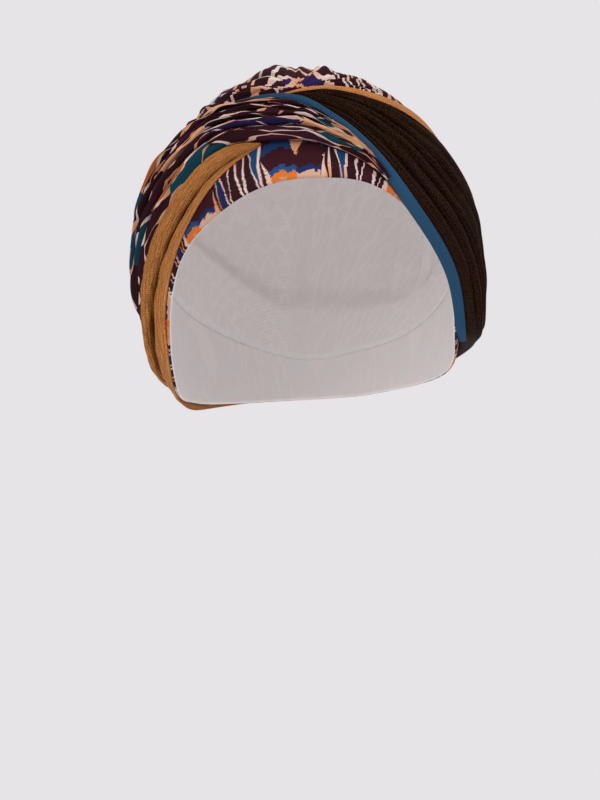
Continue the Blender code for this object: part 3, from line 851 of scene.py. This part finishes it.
def strip_of_cloth(name, upper, lower, over, under, length, material, *depths):
    """A strip with a closed section: its top, and its base back again below.

    over and under say where the points of the top and the base lie across the flat cloth, and length where
    each section lies along it.
    """
    section = np.concatenate([upper, lower[:, ::-1]], 1)
    across = np.concatenate([over, under[::-1], over[:1]])
    cloth = np.stack(np.broadcast_arrays(across[None, :], length[:, None], *depths), -1)
    return skin(name, section, cloth, (material,))


def band(
    name, stations, rows, low, high, pleats, ripples, material, *, thickness, edges, roundness, lean,
    places, flat_width, lift=0, ribs=None
):
    """A wrap between two lines: rolls between its pleats' valleys on top, a smooth base against the cap.

    A negative lean lays each roll over the valley on its face side, edges says how high the two edges stand,
    as shares, and lift raises the base. The cloth's UV runs across the wrap in U and along it in V.
    """
    even = np.linspace(0, 1, places)
    shares = 0.45 * (0.5 - 0.5 * np.cos(math.pi * even)) + 0.55 * even
    travel = ((stations - stations[0]) / (stations[-1] - stations[0]))[:, None]
    relief = waves(ripples, shares[None, :] * math.tau, travel * math.tau)
    if ribs:
        relief = relief + ribs(shares[None, :], travel)
    strength = along(rows, "pleat", stations)
    valleys = pleats["first"] * (1 - travel) + pleats["last"] * travel
    valleys = valleys + PLEAT_WANDER * np.sin(math.pi * valleys) * np.sin(5 * math.pi * travel + 9 * valleys)
    fade = 1 - PLEAT_FADE * (0.5 + 0.5 * np.sin(7 * math.pi * travel + 23 * pleats["first"]))
    heights = np.ones(relief.shape)
    hollows = np.zeros(relief.shape)
    crest = pleats["crest"]
    for row in range(len(stations)):
        place = np.clip(np.searchsorted(valleys[row], shares, side="right") - 1, 0, len(crest) - 2)
        span = valleys[row][place + 1] - valleys[row][place]
        within = np.clip((shares - valleys[row][place]) / span, 0, 1)
        depths = strength[row] * fade[row] * pleats["depth"]
        depth = depths[place] * (1 - within) + depths[place + 1] * within
        beside = (crest[place] + crest[np.where(within < 0.5, np.maximum(place - 1, 0), place + 1)]) / 2
        crests = crest[place] + (beside - crest[place]) * (2 * within - 1) ** 2
        hollows[row] = depth * (1 - np.sin(math.pi * within) ** roundness)
        heights[row] = crests * (1 - hollows[row])
    round_off = (1 - np.abs(2 * shares - 1) ** BAND_EDGE_ROUNDNESS) ** 0.5
    edge = edges[0] + (edges[1] - edges[0]) * shares
    profile = edge + (1 - edge) * round_off
    thick = thickness * along(rows, "thick", stations)[:, None]
    top = thick * heights * profile + relief * round_off
    leaned = shares + lean * (heights - 0.8) * np.sin(math.pi * shares) ** 0.5
    base = np.broadcast_to(ON_CAP + lift, stations.shape)
    length = travelled(on_head(between(low, high, 0.5), base))
    low, high, base = low[:, None, :], high[:, None, :], base[:, None]
    upper = on_head(between(low, high, leaned[..., None]), base + top)
    beneath = shares[::3]
    lower = on_head(between(low, high, beneath[None, :, None]), base)
    under = (-WALL_TURN + (1 + 2 * WALL_TURN) * beneath) * flat_width
    # The hollows also go to the fold UV map, for painted shade in the valleys.
    hollows = np.concatenate([hollows, np.zeros((len(stations), len(beneath))), hollows[:, :1]], 1)
    return strip_of_cloth(name, upper, lower, shares * flat_width, under, length, material, hollows)


def lurex_knit(name, codes, roughness, metallic, streaks_share, streak_length, glints):
    """Fine rib knit with a flat metallic thread; the short broken glints where its ribs catch the light are
    painted into the colour.

    codes gives the painted shade in the valleys between the ribs, the ribs' own colour, and the glints' colour:
    the pale metal thread, brightened as a painted highlight. Real wales are about 0.8 mm apart; they are drawn
    at KNIT_WALE, so that they show.
    """
    material, tree, shader = new_material(name, roughness=roughness, metallic=metallic, specular=0.02)
    valley_shade, rib, metal_glint = map(colour, codes)
    flat = add(tree, "UVMap", uv_map="cloth")
    across, lengthways = add(tree, "SeparateXYZ", flat).outputs[:2]
    wales = fine_ridges(tree, across, KNIT_WALE)
    courses = fine_ridges(tree, lengthways, KNIT_COURSE)
    loops = add(tree, "Math", courses, 0.7, wales, operation="MULTIPLY_ADD")
    streaks = soft_noise(tree, flat, (STREAKS_PER_METRE, 1 / streak_length), detail=2.0, roughness=0.6)
    streaked = add(tree, "Math", streaks, streaks_share, operation="MULTIPLY")
    lit = add(tree, "Math", loops, 0.16, streaked, operation="MULTIPLY_ADD")
    # Painted shade: the colour goes darker in the valleys between the ribs.
    shade = add(tree, "MapRange", lit, 0.25, 1.0, 0.0, 1.0)
    body = add(tree, "Mix", shade, valley_shade, rib, data_type="RGBA")
    # Painted highlight: specks of the pale metal colour where the thread would glint.
    glint = add(tree, "MapRange", soft_noise(tree, flat, SPECKS_PER_METRE), 0.55, 0.75, 0.0, glints)
    shown = add(tree, "Mix", glint, body, metal_glint, data_type="RGBA")
    # The base colour takes painted shade deep in the folds.
    feed(tree, shader.inputs["Base Color"], painted_fold_shade(tree, shown))
    raise_surface(tree, shader, loops, 0.4, KNIT_RELIEF)
    return material


# codes: painted shade in the rib valleys, the rib colour, and the metal colour of the painted glints.
tan_knit = lurex_knit(
    "tan lurex rib knit",
    codes=("#935828", "#E49550", "#F2C68C"),
    roughness=0.55,
    metallic=0.2,
    streaks_share=0.9,
    streak_length=0.011,
    glints=0.4,
)


def hem_ribs(shares, travel):
    """The ribs of the tan knit's hem, beside its fold."""
    first, last = TAN_PLEATS["first"][1], TAN_PLEATS["last"][1]
    from_fold = shares - (first * (1 - travel) + last * travel) - HEM_RIBS_FROM_FOLD
    in_ribs = smooth_step(0, 0.2 * HEM_RIBS_SHARE, from_fold)
    in_ribs = in_ribs * smooth_step(HEM_RIBS_SHARE, 0.8 * HEM_RIBS_SHARE, from_fold)
    return HEM_RIB_HEIGHT * in_ribs * np.sin(math.tau * HEM_RIBS * from_fold / HEM_RIBS_SHARE)


tan_stations = np.linspace(0, TAN_TIP_STATION, TAN_SECTIONS)
tan_wrap = band(
    "tan_wrap",
    tan_stations,
    TAN_BAND,
    line(TAN_BAND, tan_stations),
    line(PRINT_BAND, tan_stations, -CLEARANCE / 2),
    TAN_PLEATS,
    TAN_WAVES,
    tan_knit,
    thickness=0.0095,
    edges=(0.12, 0.5),
    roundness=0.42,
    lean=-0.28,
    places=110,
    flat_width=0.045,
    ribs=hem_ribs,
)
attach(tan_wrap, "root")
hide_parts("tan_band")

# The neck of the twist: the narrow waist of the lurex wrap, hidden under the crossing, where the tan side
# turns into the brown one.
NECK_THICKNESS = 0.0020
NECK_LOW_STATION = 3.42
NECK_HIGH_STATION = 4.04
NECK_STATIONS_WIDE = 0.26
NECK_FLAT = (0.02, 0.03)

# codes: painted shade in the rib valleys, the rib colour, and the metal colour of the painted glints.
brown_knit = lurex_knit(
    "brown lurex knit",
    codes=("#0E0604", "#2B1A13", "#84583A"),
    roughness=0.6,
    metallic=0.1,
    streaks_share=1.0,
    streak_length=0.035,
    glints=0.25,
)


def make_neck():
    across = np.linspace(0, 1, 9)
    lengthways = np.linspace(0, 1, 24)
    low = line(PRINT_BAND, NECK_LOW_STATION + NECK_STATIONS_WIDE * across, CLEARANCE / 2)
    high = blue_outer_line(NECK_HIGH_STATION + NECK_STATIONS_WIDE * across, -CLEARANCE / 2)
    ways = np.array([between(low, high, share) for share in lengthways])
    upper, lower = on_head(ways, ON_CAP + NECK_THICKNESS), on_head(ways, ON_CAP)
    flat_across, flat_along = across * NECK_FLAT[0], lengthways * NECK_FLAT[1]
    return strip_of_cloth("twist_neck_knit", upper, lower, flat_across, flat_across, flat_along, brown_knit)


neck = make_neck()
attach(neck, "root")
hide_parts("twist_neck")

# The brown wrap: the same knit in dark brown, fanning out from the twist in long soft pleats over the
# wearer's left side and round to the middle of the back.
WRAP_SECTIONS = 560
BROWN_PLEATS = table(
    "first last depth crest",
    (0.0, 0.0, 0.0, 0.9),
    (0.14, 0.12, 0.55, 0.97),
    (0.28, 0.25, 0.7, 1.0),
    (0.42, 0.40, 0.5, 0.96),
    (0.56, 0.55, 0.62, 1.0),
    (0.70, 0.70, 0.76, 0.98),
    (0.86, 0.85, 0.52, 0.94),
    (1.0, 1.0, 0.0, 0.94),
)
BROWN_WAVES = table(
    "across along phase height",
    (29, 2, 0.4, 0.00035),
    (17, 3, 2.1, 0.00030),
    (41, 1, 4.4, 0.00020),
    (6, 9, 1.0, 0.00025),
)

brown_stations = np.linspace(TWIST_STATION, STATIONS_ROUND, WRAP_SECTIONS)
brown_wrap = band(
    "brown_wrap",
    brown_stations,
    BROWN_BAND,
    blue_outer_line(brown_stations, CLEARANCE / 2),
    line(BROWN_BAND, brown_stations, -CLEARANCE / 2),
    BROWN_PLEATS,
    BROWN_WAVES,
    brown_knit,
    thickness=0.0122,
    edges=(0.3, 0.3),
    roundness=0.85,
    lean=-0.06,
    places=120,
    flat_width=0.075,
)
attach(brown_wrap, "root")
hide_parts("brown_band")

# The tan border: a folded strip of the tan knit along the upper edge of the brown wrap.
TAN_BORDER_THICKNESS = 0.0054
TRIM_SECTIONS = 420
BORDER_PROFILE = table("share height", (0.0, 0.75), (0.35, 0.95), (0.75, 1.0), (1.0, 0.6))


def trim(name, stations, low, high, thickness, profile, material, flat_width, lift=0, across=14):
    """A narrow folded strip: a rounded top over a base against the cap."""
    shares = np.linspace(0, 1, across)
    top = np.interp(shares, profile["share"], profile["height"])
    top = top * (1 - 0.35 * np.abs(2 * shares - 1) ** 5)
    base, thick = (np.broadcast_to(value, stations.shape)[:, None] for value in (ON_CAP + lift, thickness))
    ways = between(low[:, None, :], high[:, None, :], shares[None, :, None])
    upper = on_head(ways, base + thick * top)
    lower = on_head(ways[:, ::3], base)
    flat = shares * flat_width
    length = travelled(upper[:, across // 2])
    return strip_of_cloth(name, upper, lower, flat, flat[::3], length, material)


border_stations = np.linspace(TWIST_STATION, STATIONS_ROUND, TRIM_SECTIONS)
border = trim(
    "tan_border_knit",
    border_stations,
    line(BROWN_BAND, border_stations, CLEARANCE / 2),
    border_outer_line(border_stations, -CLEARANCE / 2),
    TAN_BORDER_THICKNESS,
    BORDER_PROFILE,
    tan_knit,
    flat_width=0.012,
)
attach(border, "root")
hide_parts("tan_border")

# The printed wrap: the same printed jersey in several layers, pleated lengthways into soft rolls. It comes
# round the wearer's right side, crosses over the lurex wrap and tapers off down the left of the forehead.
PRINT_TIP_STATION = 6.5
LIFT_START_STATION = 2.5
LIFT_END_STATION = 5.3
LIFT_RAMP_STATIONS = 0.8
LENS_PITCH = 0.0058
LENS_RUN = 0.016
LENS_DRIFT = 0.016
PRINT_PLEATS = table(
    "first last depth crest",
    (0.0, 0.0, 0.0, 0.85),
    (0.13, 0.22, 0.7, 0.95),
    (0.30, 0.40, 0.76, 1.0),
    (0.47, 0.56, 0.6, 0.94),
    (0.63, 0.70, 0.78, 1.0),
    (0.82, 0.86, 0.64, 0.58),
    (1.0, 1.0, 0.0, 0.58),
)
PRINT_WAVES = table(
    "across along phase height",
    (23, 2, 0.8, 0.00045),
    (13, 5, 2.9, 0.00050),
    (37, 3, 4.2, 0.00025),
    (5, 11, 0.2, 0.00050),
)


def long_lenses(tree, flat):
    """The wrap's part of the print: strokes drawn out along it, with long lenses of colour between them."""
    over_wrap, lengthways = add(tree, "SeparateXYZ", flat).outputs[:2]
    drift = soft_noise(tree, flat, (40, 22), detail=1.0)
    across = add(tree, "Math", drift, LENS_DRIFT, over_wrap, operation="MULTIPLY_ADD")
    grounds = (
        (0.0, MAROON_CODE), (0.38, "#3A1220"), (0.52, "#0E4152"), (0.68, "#221A42"),
        (0.82, "#D9A07D"), (0.9, "#AE632B"), (0.94, MAROON_CODE),
    )
    return ikat_strokes(
        tree, flat, across, lengthways, LENS_PITCH, LENS_RUN, sway=0.3, widths=(0.03, 0.15), grounds=grounds
    )


wrap_face = printed_jersey("printed viscose jersey, long lenses", long_lenses, folded=True)


def neck_lift(station):
    """How far the crossing wrap is raised where the lurex wrap passes under it."""
    rise = smooth_step(LIFT_START_STATION, LIFT_START_STATION + LIFT_RAMP_STATIONS, station)
    fall = smooth_step(LIFT_END_STATION - LIFT_RAMP_STATIONS, LIFT_END_STATION, station)
    return (NECK_THICKNESS + CLEARANCE) * rise * (1 - fall)


print_stations = np.linspace(0, PRINT_TIP_STATION, WRAP_SECTIONS)
printed_wrap = band(
    "printed_wrap",
    print_stations,
    PRINT_BAND,
    line(PRINT_BAND, print_stations, CLEARANCE / 2),
    line(EDGE, print_stations, -CLEARANCE / 2),
    PRINT_PLEATS,
    PRINT_WAVES,
    wrap_face,
    thickness=0.0138,
    edges=(0.2, 0.3),
    roundness=0.5,
    lean=-0.22,
    places=126,
    flat_width=0.07,
    lift=neck_lift(print_stations),
)
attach(printed_wrap, "root")
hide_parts("print_band")

# The blue edge: a folded binding of plain petrol blue jersey between the printed wrap and the brown one.
BLUE_START_STATION = 1.4
BLUE_END_STATION = 9.4
BLUE_EDGE_THICKNESS = 0.0052
BLUE_PROFILE = table("share height", (0.0, 0.45), (0.3, 0.75), (0.7, 1.0), (1.0, 0.9))


def plain_jersey(name, code):
    """Plain-dyed viscose jersey: matt and even, with fine wales."""
    material, _, shader, _ = jersey(name, roughness=0.8, specular=0.15)
    shader.inputs["Base Color"].default_value = colour(code)
    return material


blue_jersey = plain_jersey("plain blue jersey binding", "#244A68")
blue_stations = np.linspace(BLUE_START_STATION, BLUE_END_STATION, TRIM_SECTIONS)
blue_edge = trim(
    "blue_binding_jersey",
    blue_stations,
    line(EDGE, blue_stations, CLEARANCE / 2),
    blue_outer_line(blue_stations, -CLEARANCE / 2),
    BLUE_EDGE_THICKNESS * along(EDGE, "blue_thick", blue_stations),
    BLUE_PROFILE,
    blue_jersey,
    flat_width=0.009,
    lift=neck_lift(blue_stations),
)
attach(blue_edge, "root")
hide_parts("blue_edge")

# The studio: a pale sweep of paper well below the wrap and behind it, three large soft lights, and the
# camera at the photograph's height and angle, a little to the wearer's right.
PAPER_CODE = "#E6E4E7"
WORLD_STRENGTH = 0.75
FLOOR_DROP = -0.42
SWEEP_BACK = 2.0
SWEEP_BEND = 1.2
SWEEP_HALF_WIDTH = 6.0
WRAP_MIDDLE = Vector((0, 0, -0.09))
CAMERA_DISTANCE = 1.30
CAMERA_HEIGHT = -0.09
CAMERA_YAW_DEG = 8.5
CAMERA_PITCH_DEG = 3.43
CAMERA_SIDE = 0.0048
CAMERA_LENS_MM = 110.4


def make_sweep():
    """Floor and backdrop in one curved sheet."""
    profile = [(-4.0, 0.0), (SWEEP_BACK, 0.0)]
    profile += [
        (SWEEP_BACK + SWEEP_BEND * math.sin(angle), SWEEP_BEND * (1 - math.cos(angle)))
        for angle in np.linspace(0.1, math.pi / 2, 16)
    ]
    profile += [(SWEEP_BACK + SWEEP_BEND, SWEEP_HALF_WIDTH)]
    verts = [(side * SWEEP_HALF_WIDTH, y, FLOOR_DROP + z) for y, z in profile for side in (-1, 1)]
    faces = [(2 * row, 2 * row + 1, 2 * row + 3, 2 * row + 2) for row in range(len(profile) - 1)]
    mesh = bpy.data.meshes.new("paper_sweep")
    mesh.from_pydata(verts, [], faces)
    mesh.shade_smooth()
    material, _, shader = new_material("evenly lit background paper", roughness=0.95, specular=0.0)
    shader.inputs["Base Color"].default_value = (0, 0, 0, 1)
    shader.inputs["Emission Color"].default_value = colour(PAPER_CODE)
    shader.inputs["Emission Strength"].default_value = 1.0
    mesh.materials.append(material)
    return placed("paper_sweep", mesh)


make_sweep()
SOFT_LIGHTS = table(
    "x y z width power",
    (-0.9, -1.3, 0.9, 1.2, 10),
    (1.2, -1.0, 0.7, 1.2, 4),
    (0.0, -0.5, 1.4, 0.9, 8),
)
for x, y, z, width, power in zip(*SOFT_LIGHTS.values()):
    lamp = bpy.data.lights.new("soft_box", "AREA")
    lamp.size = width
    lamp.energy = power
    holder = placed("soft_box", lamp)
    holder.location = (x, y, z)
    holder.rotation_euler = (WRAP_MIDDLE - holder.location).to_track_quat("-Z", "Y").to_euler()
world = bpy.context.scene.world or bpy.data.worlds.new("studio")
bpy.context.scene.world = world
world.use_nodes = True
sky = world.node_tree.nodes["Background"].inputs
sky["Color"].default_value = colour(PAPER_CODE)
sky["Strength"].default_value = WORLD_STRENGTH
bpy.context.scene.view_settings.view_transform = "Standard"

yaw, pitch = math.radians(CAMERA_YAW_DEG), math.radians(CAMERA_PITCH_DEG)
level = Vector((math.sin(yaw), math.cos(yaw), 0))
right = Vector((math.cos(yaw), -math.sin(yaw), 0))
looking = level * math.cos(pitch) - Vector((0, 0, math.sin(pitch)))
upward = right.cross(looking)
camera = placed("camera", bpy.data.cameras.new("camera"))
camera.data.lens = CAMERA_LENS_MM
camera.data.sensor_width = 36
camera.location = level * -CAMERA_DISTANCE - right * CAMERA_SIDE + Vector((0, 0, CAMERA_HEIGHT))
camera.rotation_euler = Matrix((right, upward, -looking)).transposed().to_euler()
bpy.context.scene.camera = camera
